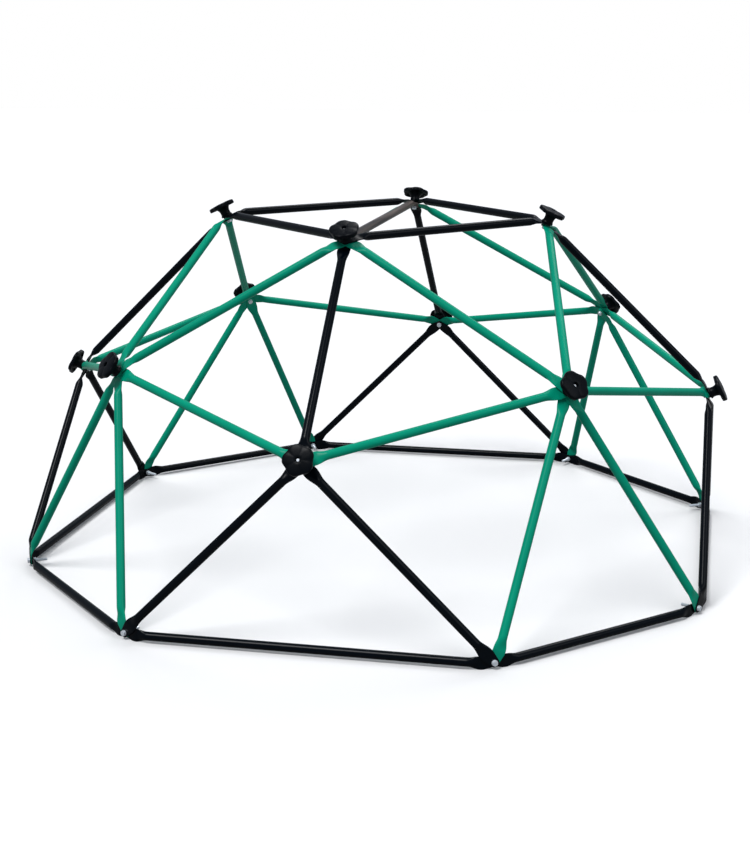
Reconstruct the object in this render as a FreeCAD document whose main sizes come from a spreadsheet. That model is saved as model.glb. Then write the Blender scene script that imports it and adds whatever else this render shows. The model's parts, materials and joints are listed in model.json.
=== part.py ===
"""Dome climber: a half truncated octahedron of bolted steel tubes.

Twenty joints stand on a dome, and every strut runs straight between two of them. Each strut is a round
tube with both ends pressed flat and bent to lie square to a bolt that points at the middle of the dome.
The flat ends are stacked on that bolt. A five-lobed knob with a threaded insert holds each of the twelve
upper joints from the outside, and a nut holds each of the eight base joints from the inside.

The origin is the middle of the base on the ground, +Z is up and the front is towards -Y. The dome repeats
every quarter turn about Z, apart from the one bar that crosses the top.
"""

import FreeCAD, Part
import os
from math import degrees, sqrt

import PartDesign
import Sketcher
from FreeCAD import Matrix, Placement, Rotation, Vector

SIZES = {
    # whole dome, hole to hole
    "short_strut": 790,
    "corner_bulge": 255,
    # tube and its flattened ends
    "tube_diameter": 27,
    "tube_wall": 1.5,
    "squash_length": 40,
    "lug_reach": 18,
    "lug_shoulder": 10,
    "nose_radius": 15,
    "seam_gap": 0.2,
    # bolts, nuts and washers
    "bolt_diameter": 10,
    "bolt_length": 60,
    "bolt_chamfer": 0.9,
    "hex_flats": 16,
    "head_height": 6.4,
    "nut_height": 8,
    "washer_diameter": 18,
    "washer_thickness": 1.6,
    "hole_clearance": 0.5,
    # knob and its threaded insert
    "insert_diameter": 16,
    "insert_length": 20,
    "running_clearance": 0.05,
    "knob_diameter": 95,
    "knob_height": 48,
    "knob_crown": 3.5,
    "knob_rim": 12,
    "knob_shell": 6,
    "neck_diameter": 34,
    "foot_diameter": 40,
    "foot_height": 12,
    "scallop_radius": 110,
    "scallop_depth": 5,
}
LOBES = 5

# lengths that follow from the sheet, as expressions for the features that use them
LUG_THICKNESS = "(2 * sheet.tube_wall)"
LUG_WIDTH = "(pi * (sheet.tube_diameter - sheet.tube_wall) / 2 + sheet.tube_wall)"
LUG_LENGTH = f"(sheet.lug_reach + {LUG_WIDTH} / 2)"
HOLE_RADIUS = "(sheet.bolt_diameter / 2 + sheet.hole_clearance)"
INSERT_RADIUS = "(sheet.insert_diameter / 2)"
SOCKET_RADIUS = f"({INSERT_RADIUS} + sheet.running_clearance)"

SIDES = ("front", "right", "back", "left")
CORNERS = ("front_right", "back_right", "back_left", "front_left")
QUARTER_TURN = Rotation(Vector(0, 0, 1), 90)

# place of each strut's flat end in the stack on its bolt, counted from the inside of the dome
TOP_STACK = ("upper_leg", "upper_brace_left", "upper_brace_right", "top_rail_tail", "top_rail_head")
MIDDLE_STACK = ("lower_leg_left", "lower_leg_right", "middle_rail_left", "middle_rail_right", "upper_leg")
CORNER_STACK = ("lower_brace_left", "lower_brace_right", "middle_rail_left", "middle_rail_right",
                "upper_brace_left", "upper_brace_right")
FOOT_STACK = ("corner_rail", "base_rail", "lower_brace", "lower_leg")
STACKS = {"top": TOP_STACK, "middle": MIDDLE_STACK, "corner": CORNER_STACK,
          "foot_left": FOOT_STACK, "foot_right": FOOT_STACK}

# angle that each knob was left at when it was done up, in degrees
KNOB_ANGLES = {"top": (1, 50, 5, 35), "middle": (0, 40, 60, 15), "corner": (30, 55, 10, 45)}

document = FreeCAD.newDocument("dome_climber")
sheet = document.addObject("Spreadsheet::Sheet", "sheet")
for row, (size_name, size) in enumerate(SIZES.items(), start=1):
    sheet.set(f"A{row}", size_name)
    sheet.set(f"B{row}", str(size))
    sheet.setAlias(f"B{row}", size_name)
document.recompute()


def value(expression):
    """Value of an expression on the sheet, as a plain number."""
    return float(sheet.evalExpression(str(expression)))


# ---------------------------------------------------------------- sketches and bodies


def new_body(name):
    """An empty body, kept at the document's origin."""
    return document.addObject("PartDesign::Body", name)


def new_sketch(body, name, role):
    """A sketch on one of the body's own origin planes."""
    sketch = body.newObject("Sketcher::SketchObject", name)
    base_plane = next(item for item in body.Origin.OriginFeatures if item.Role == role)
    sketch.AttachmentSupport = (base_plane, [""])
    sketch.MapMode = "FlatFace"
    return sketch


def bind(sketch, constraint, expression):
    """Add a dimension to a sketch and tie it to an expression."""
    index = sketch.addConstraint(Sketcher.Constraint(*constraint, value(expression)))
    sketch.setExpression(f"Constraints[{index}]", str(expression))


def pin_point(sketch, element, point, x, y):
    """Hold a point of a sketch element at the place (x, y), both given as expressions."""
    for kind, axis, expression in (("DistanceX", -2, x), ("DistanceY", -1, y)):
        if value(expression) == 0:
            sketch.addConstraint(Sketcher.Constraint("PointOnObject", element, point, axis))
        else:
            bind(sketch, (kind, -1, 1, element, point), expression)


def draw_circle(sketch, radius, x=0, y=0):
    """A circle of the given radius about the place (x, y)."""
    centre = Vector(value(x), value(y), 0)
    circle = sketch.addGeometry(Part.Circle(centre, Vector(0, 0, 1), value(radius)), False)
    pin_point(sketch, circle, 3, x, y)
    bind(sketch, ("Radius", circle), radius)


def draw_ellipse(sketch, width, thickness):
    """An ellipse about the sketch's origin with its width along the sketch's first axis."""
    curve = Part.Ellipse(Vector(value(width) / 2, 0, 0), Vector(0, value(thickness) / 2, 0), Vector(0, 0, 0))
    ellipse = sketch.addGeometry(curve, False)
    sketch.exposeInternalGeometry(ellipse)
    sketch.addConstraint(Sketcher.Constraint("Coincident", ellipse, 3, -1, 1))
    sketch.addConstraint(Sketcher.Constraint("Horizontal", ellipse + 1))
    bind(sketch, ("Distance", ellipse + 1), width)
    bind(sketch, ("Distance", ellipse + 2), thickness)


def draw_polygon(sketch, corners):
    """A closed polygon whose corners are pairs of expressions."""
    places = [Vector(value(x), value(y), 0) for x, y in corners]
    lines = [sketch.addGeometry(Part.LineSegment(start, end), False)
             for start, end in zip(places, places[1:] + places[:1])]
    for line, following, (x, y) in zip(lines, lines[1:] + lines[:1], corners):
        sketch.addConstraint(Sketcher.Constraint("Coincident", line, 2, following, 1))
        pin_point(sketch, line, 1, x, y)


def draw_hexagon(sketch, flats):
    """A hexagon about the sketch's origin, given its size across flats."""
    corner = f"({flats} / sqrt(3))"
    draw_polygon(sketch, [(corner, 0), (f"{corner} / 2", f"{flats} / 2"), (f"-{corner} / 2", f"{flats} / 2"),
                          (f"-{corner}", 0), (f"-{corner} / 2", f"-{flats} / 2"),
                          (f"{corner} / 2", f"-{flats} / 2")])


def add_pad(body, sketch, name, length, both_ways=False):
    """A pad of the sketch, along its normal or half to each side of it."""
    pad = body.newObject("PartDesign::Pad", name)
    pad.Profile = sketch
    pad.Midplane = both_ways
    pad.setExpression("Length", length)
    return pad


def add_pocket(body, sketch, name, length):
    """A pocket of the sketch, half of its length to each side of it."""
    pocket = body.newObject("PartDesign::Pocket", name)
    pocket.Profile = sketch
    pocket.Midplane = True
    pocket.setExpression("Length", length)
    return pocket


# ---------------------------------------------------------------- the dome's joints


def joint_place(family, turn=0):
    """Middle of a joint's stack, on its bolt's axis."""
    half = value("sheet.short_strut / sqrt(2)")
    corner = 1 + value("sheet.corner_bulge") / (sqrt(3) * half)
    unit_places = {
        "top": Vector(0, -1, 2),
        "middle": Vector(0, -2, 1),
        "corner": Vector(corner, -corner, corner),
        "foot_left": Vector(-1, -2, 0),
        "foot_right": Vector(1, -2, 0),
    }
    place = unit_places[family] * half
    for _ in range(turn % len(SIDES)):
        place = QUARTER_TURN.multVec(place)
    return place + Vector(0, 0, value(f"{LUG_WIDTH} / 2"))


def bolt_axis(family, turn=0):
    """Outward direction of a joint's bolt, straight away from the middle of the dome."""
    middle = Vector(0, 0, value(f"{LUG_WIDTH} / 2"))
    return (joint_place(family, turn) - middle).normalize()


def turned(placement, turn):
    """The same placement, carried a number of quarter turns round the dome."""
    for _ in range(turn):
        placement = Placement(Vector(), QUARTER_TURN) * placement
    return placement


def along_bolt(family, distance, direction=1, spin=0, turn=0):
    """Placement with Z on a joint's bolt, at a distance outward from the middle of the stack."""
    axis = bolt_axis(family)
    aim = Rotation(Vector(0, 0, 1), axis * direction) * Rotation(Vector(0, 0, 1), spin)
    return turned(Placement(joint_place(family) + axis * distance, aim), turn)


def half_stack(family):
    """Half of the height of the flat ends stacked on a joint's bolt."""
    return len(STACKS[family]) * value(LUG_THICKNESS) / 2


# ---------------------------------------------------------------- struts


def bend_place(here, there, layer):
    """Where a flat end bends into its tube, and the direction from its hole to that bend."""
    place = joint_place(*here)
    axis = bolt_axis(*here)
    chord = joint_place(*there) - place
    along = (chord - axis * chord.dot(axis)).normalize()
    height = (layer + 0.5) * value(LUG_THICKNESS) - half_stack(here[0])
    return place + axis * height + along * value(LUG_LENGTH), along


def add_flat_end(body, side, run, tilt):
    """Press one end of a strut flat, bend it and drill it for its bolt."""
    end = "head" if side > 0 else "tail"
    round_section = new_sketch(body, f"{end}_round", "YZ_Plane")
    draw_circle(round_section, "sheet.tube_diameter / 2")
    draw_circle(round_section, "sheet.tube_diameter / 2 - sheet.tube_wall")
    round_section.setExpression("AttachmentOffset.Base.z", f"{side} * ({run} / 2 - sheet.squash_length)")

    flat_section = new_sketch(body, f"{end}_flat", "YZ_Plane")
    draw_ellipse(flat_section, LUG_WIDTH, LUG_THICKNESS)
    draw_ellipse(flat_section, f"({LUG_WIDTH} - {LUG_THICKNESS})", "sheet.seam_gap")
    flat_section.AttachmentOffset = Placement(Vector(), Rotation(Vector(1, 0, 0), 1))
    flat_section.setExpression("AttachmentOffset.Base.z", f"{side} * {run} / 2")
    flat_section.setExpression("AttachmentOffset.Rotation.Angle", f"{side} * {tilt}")

    squash = body.newObject("PartDesign::AdditiveLoft", f"{end}_squash")
    squash.Profile = round_section
    squash.Sections = [flat_section]

    half_width = f"{LUG_WIDTH} / 2"
    outlines = {name: new_sketch(body, f"{end}_{name}_outline", "XY_Plane") for name in ("flat", "nose", "hole")}
    for outline in outlines.values():
        outline.AttachmentOffset = Placement(Vector(), Rotation(Vector(0, 1, 0), 1))
        outline.setExpression("AttachmentOffset.Base.x", f"{side} * {run} / 2")
        outline.setExpression("AttachmentOffset.Rotation.Angle", f"{side} * {tilt}")
    hole_x = f"{side} * {LUG_LENGTH}"
    shoulder_x = f"{side} * sheet.lug_shoulder"
    draw_polygon(outlines["flat"], [(0, half_width), (0, f"-{half_width}"), (shoulder_x, f"-{half_width}"),
                                    (hole_x, "-sheet.nose_radius"), (hole_x, "sheet.nose_radius"),
                                    (shoulder_x, half_width)])
    draw_circle(outlines["nose"], "sheet.nose_radius", x=hole_x)
    draw_circle(outlines["hole"], HOLE_RADIUS, x=hole_x)
    add_pad(body, outlines["flat"], f"{end}_lug", LUG_THICKNESS, both_ways=True)
    add_pad(body, outlines["nose"], f"{end}_nose", LUG_THICKNESS, both_ways=True)
    add_pocket(body, outlines["hole"], f"{end}_bolt_hole", f"2 * {LUG_THICKNESS}")


def make_strut(name, tail, head, tail_layer, head_layer):
    """A strut between two joints, with the placement that carries it there.

    The body's X runs along the tube from tail to head, and its Z points out of the dome.
    """
    tail_bend, tail_along = bend_place(tail, head, tail_layer)
    head_bend, head_along = bend_place(head, tail, head_layer)
    x_axis = (head_bend - tail_bend).normalize()
    y_axis = bolt_axis(*tail).cross(x_axis).normalize()
    z_axis = x_axis.cross(y_axis)

    bends = document.addObject("App::VarSet", f"{name}_bends")
    for label, number in (("Run", (head_bend - tail_bend).Length),
                          ("TailTilt", degrees(tail_along.getAngle(x_axis))),
                          ("HeadTilt", degrees(head_along.getAngle(-x_axis)))):
        bends.addProperty("App::PropertyFloat", label)
        setattr(bends, label, number)
    run = f"{bends.Name}.Run"

    body = new_body(f"{name}_strut")
    ring = new_sketch(body, "tube_section", "YZ_Plane")
    draw_circle(ring, "sheet.tube_diameter / 2")
    draw_circle(ring, "sheet.tube_diameter / 2 - sheet.tube_wall")
    add_pad(body, ring, "tube", f"{run} - 2 * sheet.squash_length", both_ways=True)
    add_flat_end(body, -1, run, f"{bends.Name}.TailTilt")
    add_flat_end(body, 1, run, f"{bends.Name}.HeadTilt")

    middle = (tail_bend + head_bend) * 0.5
    frame = Matrix(x_axis.x, y_axis.x, z_axis.x, middle.x,
                   x_axis.y, y_axis.y, z_axis.y, middle.y,
                   x_axis.z, y_axis.z, z_axis.z, middle.z,
                   0, 0, 0, 1)
    return body, Placement(frame)


def make_struts():
    """One strut of each kind, for the front quarter of the dome."""
    top, middle, corner = ("top", 0), ("middle", 0), ("corner", 0)
    left_corner, next_top = ("corner", 3), ("top", 1)
    foot_left, foot_right, next_foot = ("foot_left", 0), ("foot_right", 0), ("foot_left", 1)
    layouts = {
        "top_rail": (top, next_top, TOP_STACK.index("top_rail_tail"), TOP_STACK.index("top_rail_head")),
        "top_cross_bar": (top, ("top", 2), -1, -1),
        "upper_leg": (top, middle, TOP_STACK.index("upper_leg"), MIDDLE_STACK.index("upper_leg")),
        "lower_leg_left": (middle, foot_left, MIDDLE_STACK.index("lower_leg_left"),
                           FOOT_STACK.index("lower_leg")),
        "lower_leg_right": (middle, foot_right, MIDDLE_STACK.index("lower_leg_right"),
                            FOOT_STACK.index("lower_leg")),
        "lower_brace_left": (corner, foot_right, CORNER_STACK.index("lower_brace_left"),
                             FOOT_STACK.index("lower_brace")),
        "lower_brace_right": (corner, next_foot, CORNER_STACK.index("lower_brace_right"),
                              FOOT_STACK.index("lower_brace")),
        "base_rail": (foot_left, foot_right, FOOT_STACK.index("base_rail"), FOOT_STACK.index("base_rail")),
        "corner_rail": (foot_right, next_foot, FOOT_STACK.index("corner_rail"),
                        FOOT_STACK.index("corner_rail")),
    }
    for hand, far_corner in (("left", left_corner), ("right", corner)):
        brace, rail = f"upper_brace_{hand}", f"middle_rail_{hand}"
        layouts[brace] = (top, far_corner, TOP_STACK.index(brace), CORNER_STACK.index(brace))
        layouts[rail] = (middle, far_corner, MIDDLE_STACK.index(rail), CORNER_STACK.index(rail))
    return {name: make_strut(name, *layout) for name, layout in layouts.items()}


# ---------------------------------------------------------------- bolts, nuts, washers, knobs


def make_bolt():
    """Hexagon bolt: underside of the head at the origin, shank along +Z, thread drawn plain."""
    body = new_body("bolt")
    hexagon = new_sketch(body, "head_outline", "XY_Plane")
    draw_hexagon(hexagon, "sheet.hex_flats")
    hexagon.setExpression("AttachmentOffset.Base.z", "-sheet.head_height")
    add_pad(body, hexagon, "head", "sheet.head_height")
    circle = new_sketch(body, "shank_outline", "XY_Plane")
    draw_circle(circle, "sheet.bolt_diameter / 2")
    shank = add_pad(body, circle, "shank", "sheet.bolt_length")
    document.recompute()
    tip = max(range(len(shank.Shape.Edges)), key=lambda index: shank.Shape.Edges[index].BoundBox.ZMin)
    chamfer = body.newObject("PartDesign::Chamfer", "thread_lead")
    chamfer.Base = (shank, [f"Edge{tip + 1}"])
    chamfer.setExpression("Size", "sheet.bolt_chamfer")
    return body


def make_nut():
    """Hexagon nut from the origin up, its thread drawn as a plain hole on the bolt."""
    body = new_body("nut")
    outline = new_sketch(body, "nut_outline", "XY_Plane")
    draw_hexagon(outline, "sheet.hex_flats")
    draw_circle(outline, "sheet.bolt_diameter / 2")
    add_pad(body, outline, "hexagon", "sheet.nut_height")
    return body


def make_washer():
    """Plain washer from the origin up."""
    body = new_body("washer")
    outline = new_sketch(body, "washer_outline", "XY_Plane")
    draw_circle(outline, "sheet.washer_diameter / 2")
    draw_circle(outline, HOLE_RADIUS)
    add_pad(body, outline, "ring", "sheet.washer_thickness")
    return body


def make_insert():
    """Threaded bush moulded into the knob, placed where it sits above the knob's foot."""
    body = new_body("insert")
    outline = new_sketch(body, "insert_outline", "XY_Plane")
    draw_circle(outline, INSERT_RADIUS)
    draw_circle(outline, "sheet.bolt_diameter / 2 + sheet.running_clearance")
    outline.setExpression("AttachmentOffset.Base.z", "sheet.foot_height")
    add_pad(body, outline, "bush", "sheet.insert_length")
    return body


def make_knob():
    """Knob with its foot at the origin: a flared foot, a neck that widens upwards and a lobed head."""
    body = new_body("knob")
    rim = "sheet.knob_diameter / 2"
    neck = "sheet.neck_diameter / 2"
    foot = "sheet.foot_diameter / 2"
    rim_low = "(sheet.knob_height - sheet.knob_crown - sheet.knob_rim)"
    ceiling = "(sheet.knob_height - sheet.knob_crown - sheet.knob_shell)"
    recess = f"({rim} - 2 * sheet.knob_shell)"
    flare = f"({neck} + {recess}) / 2"
    profile = new_sketch(body, "profile", "XZ_Plane")
    draw_polygon(profile, [
        (HOLE_RADIUS, 0),
        (foot, 0),
        (foot, "sheet.foot_height / 4"),
        (f"({foot} + 2 * {neck}) / 3", "sheet.foot_height * 0.6"),
        (neck, "sheet.foot_height"),
        (neck, "sheet.foot_height * 1.3"),
        (f"(2 * {neck} + {flare}) / 3", f"{ceiling} - 2 * sheet.knob_shell"),
        (flare, f"{ceiling} - sheet.knob_shell / 2"),
        (f"({flare} + {recess}) / 2", ceiling),
        (recess, ceiling),
        (f"{rim} - sheet.knob_shell", rim_low),
        (f"{rim} - sheet.knob_shell / 4", rim_low),
        (rim, f"{rim_low} + sheet.knob_shell / 4"),
        (rim, "sheet.knob_height - 2 * sheet.knob_crown"),
        (f"{rim} - sheet.knob_shell", "sheet.knob_height - sheet.knob_crown / 2"),
        (f"{rim} / 2", "sheet.knob_height"),
        (SOCKET_RADIUS, "sheet.knob_height"),
        (SOCKET_RADIUS, "sheet.foot_height"),
        (HOLE_RADIUS, "sheet.foot_height"),
    ])
    turning = body.newObject("PartDesign::Revolution", "turned_shape")
    turning.Profile = profile
    turning.ReferenceAxis = (profile, ["V_Axis"])
    turning.Angle = 360

    scallop = new_sketch(body, "scallop", "XY_Plane")
    draw_circle(scallop, "sheet.scallop_radius", x=f"{rim} - sheet.scallop_depth + sheet.scallop_radius")
    grip = add_pocket(body, scallop, "grip", "4 * sheet.knob_height")
    grips = body.newObject("PartDesign::PolarPattern", "grips")
    grips.Originals = [grip]
    grips.Axis = (scallop, ["N_Axis"])
    grips.Angle = 360
    grips.Occurrences = LOBES
    body.Tip = grips
    return body


# ---------------------------------------------------------------- the assembly

parts = []


def copy_of(source, placement, label):
    """A linked copy of a body at its own place."""
    link = document.addObject("App::Link", label)
    link.LinkedObject = source
    link.Label = label
    link.Placement = placement
    return link


def add_part(label, pieces):
    """A named sub-part made of one or more separate pieces, each a (body, placement) pair."""
    if len(pieces) == 1:
        part = copy_of(*pieces[0], label)
    else:
        part = document.addObject("Part::Compound", label)
        part.Label = label
        part.Links = [copy_of(*piece, f"{label}_piece_{number}") for number, piece in enumerate(pieces, start=1)]
    parts.append(part)


def add_struts():
    """The tubes of all four quarters."""
    struts = make_struts()

    def piece(kind, turn):
        body, placement = struts[kind]
        return body, turned(placement, turn)

    for turn, (side, corner) in enumerate(zip(SIDES, CORNERS)):
        add_part(f"top_rail_{corner}", [piece("top_rail", turn)])
        add_part(f"upper_leg_{side}", [piece("upper_leg", turn)])
        add_part(f"upper_braces_{side}", [piece("upper_brace_left", turn), piece("upper_brace_right", turn)])
        add_part(f"middle_rails_{side}", [piece("middle_rail_left", turn), piece("middle_rail_right", turn)])
        add_part(f"lower_legs_{side}", [piece("lower_leg_left", turn), piece("lower_leg_right", turn)])
        add_part(f"lower_braces_{corner}", [piece("lower_brace_left", turn), piece("lower_brace_right", turn)])
        add_part(f"base_rail_{side}", [piece("base_rail", turn)])
    add_part("top_cross_bar", [piece("top_cross_bar", 0)])
    add_part("base_corner_rails", [piece("corner_rail", turn) for turn in range(len(SIDES))])


def add_upper_joints():
    """Knobs, inserts, bolts and inner washers of the twelve upper joints."""
    bolt, washer = make_bolt(), make_washer()
    knob, insert = make_knob(), make_insert()
    bolts, washers = [], []
    for family in ("top", "middle", "corner"):
        for turn in range(len(SIDES)):
            place_name = CORNERS[turn] if family == "corner" else SIDES[turn]
            level = "top" if family == "top" else "middle"
            outside = half_stack(family)
            crossed = family == "top" and turn % 2 == 0
            inside = -outside - (value(LUG_THICKNESS) if crossed else 0)
            washer_base = inside - value("sheet.washer_thickness")
            spin = KNOB_ANGLES[family][turn]
            add_part(f"knob_{level}_{place_name}", [(knob, along_bolt(family, outside, spin=spin, turn=turn))])
            add_part(f"knob_insert_{level}_{place_name}", [(insert, along_bolt(family, outside, turn=turn))])
            bolts.append((bolt, along_bolt(family, washer_base, turn=turn)))
            washers.append((washer, along_bolt(family, washer_base, turn=turn)))
    add_part("upper_bolts", bolts)
    add_part("upper_washers", washers)
    return bolt, washer


def add_base_joints(bolt, washer):
    """Bolts, nuts and washers of the eight base joints, heads outward."""
    nut = make_nut()
    bolts, nuts, washers = [], [], []
    for family in ("foot_left", "foot_right"):
        outer = half_stack(family) + value("sheet.washer_thickness")
        for turn in range(len(SIDES)):
            bolts.append((bolt, along_bolt(family, outer, direction=-1, turn=turn)))
            nuts.append((nut, along_bolt(family, -outer, direction=-1, turn=turn)))
            washers.append((washer, along_bolt(family, outer, direction=-1, turn=turn)))
            washers.append((washer, along_bolt(family, -half_stack(family), direction=-1, turn=turn)))
    add_part("base_bolts", bolts)
    add_part("base_nuts", nuts)
    add_part("base_washers", washers)


def check_document():
    """Stop if any object failed or any sub-part's shape is missing or faulty."""
    for item in document.Objects:
        if "Invalid" in item.State or "Error" in item.State:
            raise RuntimeError(f"{item.Label} failed: {item.State}")
    for part in parts:
        if part.Shape.isNull() or not part.Shape.isValid():
            raise RuntimeError(f"{part.Label} has no valid shape")


add_struts()
shared_bolt, shared_washer = add_upper_joints()
add_base_joints(shared_bolt, shared_washer)
document.recompute()
check_document()

os.makedirs("parts", exist_ok=True)
for part in parts:
    part.Shape.exportStep(os.path.join("parts", f"{part.Label}.step"))
print(f"{len(parts)} sub-parts written")
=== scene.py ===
"""Looks of the dome climber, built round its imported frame.

Every tube, knob, insert, bolt, nut and washer is modelled as its own piece, at the place that the frame
gives it: the record's joints hold the twelve upper bolts, and the eight base bolts follow from those.
"""

import json
import logging
import math
from dataclasses import dataclass, field
from enum import Enum

import bpy
from mathutils import Matrix, Vector


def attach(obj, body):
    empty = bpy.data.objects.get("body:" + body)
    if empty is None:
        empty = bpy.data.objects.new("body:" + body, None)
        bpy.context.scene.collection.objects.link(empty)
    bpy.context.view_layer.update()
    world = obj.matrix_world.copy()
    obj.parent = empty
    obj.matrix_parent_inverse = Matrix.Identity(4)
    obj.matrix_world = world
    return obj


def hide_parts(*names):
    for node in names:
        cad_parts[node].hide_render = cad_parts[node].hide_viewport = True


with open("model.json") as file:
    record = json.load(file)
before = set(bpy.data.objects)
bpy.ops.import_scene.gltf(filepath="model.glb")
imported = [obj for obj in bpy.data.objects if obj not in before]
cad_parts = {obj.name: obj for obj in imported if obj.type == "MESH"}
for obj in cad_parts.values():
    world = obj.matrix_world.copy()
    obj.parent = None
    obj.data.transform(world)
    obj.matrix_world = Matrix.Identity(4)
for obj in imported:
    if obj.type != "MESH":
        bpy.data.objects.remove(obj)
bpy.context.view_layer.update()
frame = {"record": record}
LOG = logging.getLogger("dome_climber")

MM = 0.001
# edges that turn by more degrees than this stay sharp, on moulded or bent pieces and on cut or stamped ones
SOFT_EDGE = 40.0
CRISP_EDGE = 30.0
SIDES = ("front", "right", "back", "left")
CORNERS = ("front_right", "back_right", "back_left", "front_left")
FEET = {
    "foot_left": ("front_left", "right_front", "back_right", "left_back"),
    "foot_right": ("front_right", "right_back", "back_left", "left_front"),
}


# ---------------------------------------------------------------- modelling helpers


def deselect() -> None:
    """Leave nothing selected, because an operator acts on all that is."""
    if bpy.context.mode != "OBJECT":
        bpy.ops.object.mode_set(mode="OBJECT")
    bpy.ops.object.select_all(action="DESELECT")


def start_editing(piece: bpy.types.Object) -> None:
    """Open a piece in edit mode with nothing else selected.

    Args:
        piece: the mesh object to edit.
    """
    deselect()
    piece.select_set(True)
    bpy.context.view_layer.objects.active = piece
    bpy.ops.object.mode_set(mode="EDIT")


def finish_editing() -> None:
    """Close edit mode."""
    bpy.ops.object.mode_set(mode="OBJECT")


def named(name: str) -> bpy.types.Object:
    """Name the piece that was just added.

    Args:
        name: the piece's name.

    Returns:
        The active object, renamed.
    """
    piece = bpy.context.active_object
    piece.name = name
    piece.data.name = name
    return piece


def apply_modifier(piece: bpy.types.Object, kind: str, **settings: object) -> None:
    """Add a modifier to a piece and apply it.

    Args:
        piece: the mesh object.
        kind: the modifier's type.
        settings: values for the modifier's own properties.
    """
    deselect()
    piece.select_set(True)
    bpy.context.view_layer.objects.active = piece
    modifier = piece.modifiers.new(kind.lower(), kind)
    for key, setting in settings.items():
        setattr(modifier, key, setting)
    bpy.ops.object.modifier_apply(modifier=modifier.name)


def smooth(piece: bpy.types.Object, degrees: float) -> None:
    """Shade a piece smooth but for its sharper edges.

    Args:
        piece: the mesh object.
        degrees: edges that turn more than this stay sharp.
    """
    deselect()
    piece.select_set(True)
    bpy.context.view_layer.objects.active = piece
    bpy.ops.object.shade_smooth_by_angle(angle=math.radians(degrees))


def copy_piece(source: bpy.types.Object, name: str, place: Matrix) -> bpy.types.Object:
    """Copy a modelled piece, with a mesh of its own that is carried to its place.

    Args:
        source: the modelled piece.
        name: the copy's name.
        place: where the copy goes, in the frame.

    Returns:
        The copy, which stands at the origin.
    """
    twin = source.copy()
    twin.data = source.data.copy()
    twin.name = name
    twin.data.name = name
    bpy.context.scene.collection.objects.link(twin)
    twin.data.transform(place)
    return twin


def discard(piece: bpy.types.Object) -> None:
    """Remove a pattern piece once its copies are made.

    Args:
        piece: the pattern, whose mesh goes with it.
    """
    mesh = piece.data
    bpy.data.objects.remove(piece)
    bpy.data.meshes.remove(mesh)


def ease(step: float) -> float:
    """Smooth step from 0 to 1, flat at both ends."""
    step = min(1.0, max(0.0, step))
    return step * step * (3.0 - 2.0 * step)


# ---------------------------------------------------------------- finishes


@dataclass(frozen=True)
class Finish:
    """One surface finish, with its own small-scale relief and colour changes."""

    name: str
    colour: tuple[float, float, float]
    shade: tuple[float, float, float]
    roughness: tuple[float, float]
    metallic: float = 0.0
    specular: float = 0.5
    patch_scale: float = 6.0
    grain_scale: float = 900.0
    grain_depth: float = 0.00008
    stretch: tuple[float, float, float] = (1.0, 1.0, 1.0)
    patch_detail: float = 5.0
    patch_range: tuple[float, float] = (0.3, 0.7)
    grain_detail: float = 2.0
    grain_strength: float = 0.35

    def material(self) -> bpy.types.Material:
        """Build the finish as a node material.

        Returns:
            The material, made once and used by every piece of this finish.
        """
        made = bpy.data.materials.get(self.name)
        if made:
            return made
        made = bpy.data.materials.new(self.name)
        made.use_nodes = True
        nodes, links = made.node_tree.nodes, made.node_tree.links
        shader = nodes["Principled BSDF"]
        shader.inputs["Metallic"].default_value = self.metallic
        shader.inputs["Specular IOR Level"].default_value = self.specular

        place = nodes.new("ShaderNodeTexCoord")
        stretch = nodes.new("ShaderNodeMapping")
        stretch.inputs["Scale"].default_value = self.stretch
        links.new(place.outputs["Object"], stretch.inputs["Vector"])

        patches = nodes.new("ShaderNodeTexNoise")
        patches.inputs["Scale"].default_value = self.patch_scale
        patches.inputs["Detail"].default_value = self.patch_detail
        links.new(stretch.outputs["Vector"], patches.inputs["Vector"])
        mix = nodes.new("ShaderNodeValToRGB")
        stops = zip(mix.color_ramp.elements, self.patch_range, (self.shade, self.colour))
        for stop, position, colour in stops:
            stop.position = position
            stop.color = (*colour, 1.0)
        links.new(patches.outputs["Fac"], mix.inputs["Fac"])
        links.new(mix.outputs["Color"], shader.inputs["Base Color"])

        gloss = nodes.new("ShaderNodeMapRange")
        gloss.inputs["To Min"].default_value = self.roughness[0]
        gloss.inputs["To Max"].default_value = self.roughness[1]
        links.new(patches.outputs["Fac"], gloss.inputs["Value"])
        links.new(gloss.outputs["Result"], shader.inputs["Roughness"])

        grain = nodes.new("ShaderNodeTexNoise")
        grain.inputs["Scale"].default_value = self.grain_scale
        grain.inputs["Detail"].default_value = self.grain_detail
        links.new(stretch.outputs["Vector"], grain.inputs["Vector"])
        relief = nodes.new("ShaderNodeBump")
        relief.inputs["Strength"].default_value = self.grain_strength
        relief.inputs["Distance"].default_value = self.grain_depth
        links.new(grain.outputs["Fac"], relief.inputs["Height"])
        links.new(relief.outputs["Normal"], shader.inputs["Normal"])
        return made


class Slot(Enum):
    """The record's material slots, each with the finish that dresses it."""

    GREEN_TUBE = "green_tube"
    BLACK_TUBE = "black_tube"
    GREY_TUBE = "grey_tube"
    KNOB = "knob_plastic"
    INSERT = "insert_steel"
    ZINC = "zinc_steel"


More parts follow.
